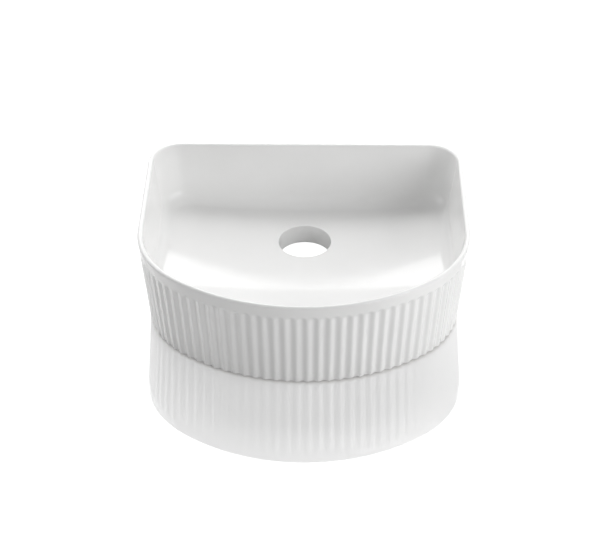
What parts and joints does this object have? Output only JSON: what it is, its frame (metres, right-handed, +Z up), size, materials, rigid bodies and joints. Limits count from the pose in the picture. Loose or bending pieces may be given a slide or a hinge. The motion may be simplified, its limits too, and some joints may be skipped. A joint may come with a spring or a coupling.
{
  "type": "countertop basin",
  "caption": "D-shaped white ceramic countertop basin with a fluted skirt, a plain thin rim and an open waste hole, on small foot pads.",
  "frame": {"origin": "on the worktop, under the middle of the basin's plan (bottom centre of the bounding box)", "axes": "+X to the right across the width, +Y to the straight back, -Y to the bowed front, +Z up"},
  "size_m": [0.3598, 0.3098, 0.1085],
  "materials": {
    "glaze": "gloss",
    "pad": "matte"
  },
  "bodies": {
    "root": {"basin_body": "glaze", "foot_pad_1": "pad", "foot_pad_2": "pad", "foot_pad_3": "pad", "foot_pad_4": "pad", "foot_pad_5": "pad", "foot_pad_6": "pad"}
  },
  "joints": []
}
